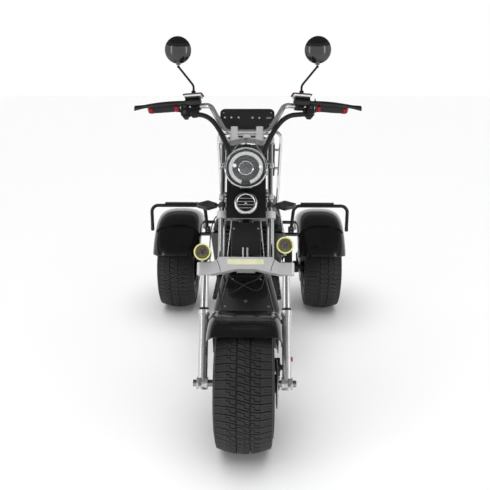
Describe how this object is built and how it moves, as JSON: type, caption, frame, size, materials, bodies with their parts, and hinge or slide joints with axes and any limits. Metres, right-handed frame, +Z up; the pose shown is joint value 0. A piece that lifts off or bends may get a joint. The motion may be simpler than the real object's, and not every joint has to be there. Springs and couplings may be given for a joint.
{
  "type": "three-wheeled electric chopper scooter",
  "caption": "Black electric chopper trike with a fat front tyre under a wide raked fork, chrome handlebar, round mirrors, saddle with backrest and arched rear fenders under side hoops.",
  "frame": {"origin": "on the ground under the middle of the vehicle's length and width", "axes": "+Z up, -Y forward, +X to the rider's left"},
  "size_m": [1.0726, 1.9349, 1.4499],
  "materials": {
    "gloss_black": "gloss black paint",
    "satin_black": "satin black powder coat",
    "black_plastic": "fine-grained black plastic",
    "chrome": "bright chrome plate",
    "silver_cast": "silver cast and polished aluminium",
    "steel": "bare turned steel",
    "cast_rim": "black cast aluminium with bright edges",
    "tyre": "dark charcoal tyre rubber",
    "grip_rubber": "dark grey ribbed grip rubber",
    "rubber": "black moulded rubber",
    "red_lid": "dark red anodised lids over black castings",
    "yellow_ring": "pale yellow lamp rings",
    "lens": "clear lamp lens",
    "red_lamp": "red and amber rear lamp lenses",
    "saddle": "black stitched synthetic leather"
  },
  "bodies": {
    "frame": {"main_frame": "gloss_black", "front_panel": "black_plastic", "front_shield": "gloss_black", "battery_box": "satin_black", "deck": "satin_black", "deck_mat": "rubber", "seat_base": "gloss_black", "seat_hinge": "satin_black", "rear_axle_housing": "satin_black", "swingarm": "gloss_black", "rear_shocks": "chrome", "rear_calipers": "satin_black", "rear_fenders": "gloss_black", "fender_hoops": "satin_black", "rack_pads": "satin_black", "sissy_bar": "chrome", "backrest": "saddle", "rear_lamps": "red_lamp", "plate_bracket": "satin_black", "brake_hose": "rubber"},
    "steering": {"fork_sliders": "silver_cast", "fork_stanchions": "chrome", "front_axle": "steel", "lower_yoke": "silver_cast", "fork_upper_tubes": "chrome", "middle_clamp": "chrome", "top_yoke": "chrome", "handlebar_risers": "chrome", "handlebar": "chrome", "grips": "grip_rubber", "switch_housings": "black_plastic", "brake_masters": "red_lid", "brake_levers": "silver_cast", "mirror_stems": "satin_black", "mirror_heads": "satin_black", "lamp_bracket": "satin_black", "headlight_bucket": "gloss_black", "headlight_ring": "chrome", "headlight_lens": "lens", "horn": "chrome", "dash_housing": "black_plastic", "turn_signals_front": "black_plastic", "spot_lamps": "satin_black", "spot_rings": "yellow_ring", "front_fender": "gloss_black", "front_caliper": "satin_black", "cable_sleeves": "rubber"},
    "front_wheel": {"front_tyre": "tyre", "front_rim": "cast_rim", "front_disc": "steel"},
    "rear_wheel_left": {"rear_tyre_left": "tyre", "rear_rim_left": "cast_rim"},
    "rear_wheel_right": {"rear_tyre_right": "tyre", "rear_rim_right": "cast_rim"},
    "seat": {"seat_pan": "black_plastic", "seat_cushion": "saddle"}
  },
  "joints": [
    {"name": "steer", "type": "hinge", "parent": "frame", "child": "steering", "pos_m": [0, -0.45247, 0.68547], "axis": [0, 0.454, 0.891], "range_deg": [-35, 35]},
    {"name": "front_wheel_spin", "type": "hinge", "parent": "steering", "child": "front_wheel", "pos_m": [0, -0.7325, 0.235], "axis": [1, 0, 0], "continuous": true},
    {"name": "rear_wheel_left_spin", "type": "hinge", "parent": "frame", "child": "rear_wheel_left", "pos_m": [0.409, 0.6275, 0.235], "axis": [1, 0, 0], "continuous": true},
    {"name": "rear_wheel_right_spin", "type": "hinge", "parent": "frame", "child": "rear_wheel_right", "pos_m": [-0.409, 0.6275, 0.235], "axis": [1, 0, 0], "continuous": true},
    {"name": "seat_lift", "type": "hinge", "parent": "frame", "child": "seat", "pos_m": [0, -0.0095, 0.61], "axis": [1, 0, 0], "range_deg": [0, 55]}
  ]
}
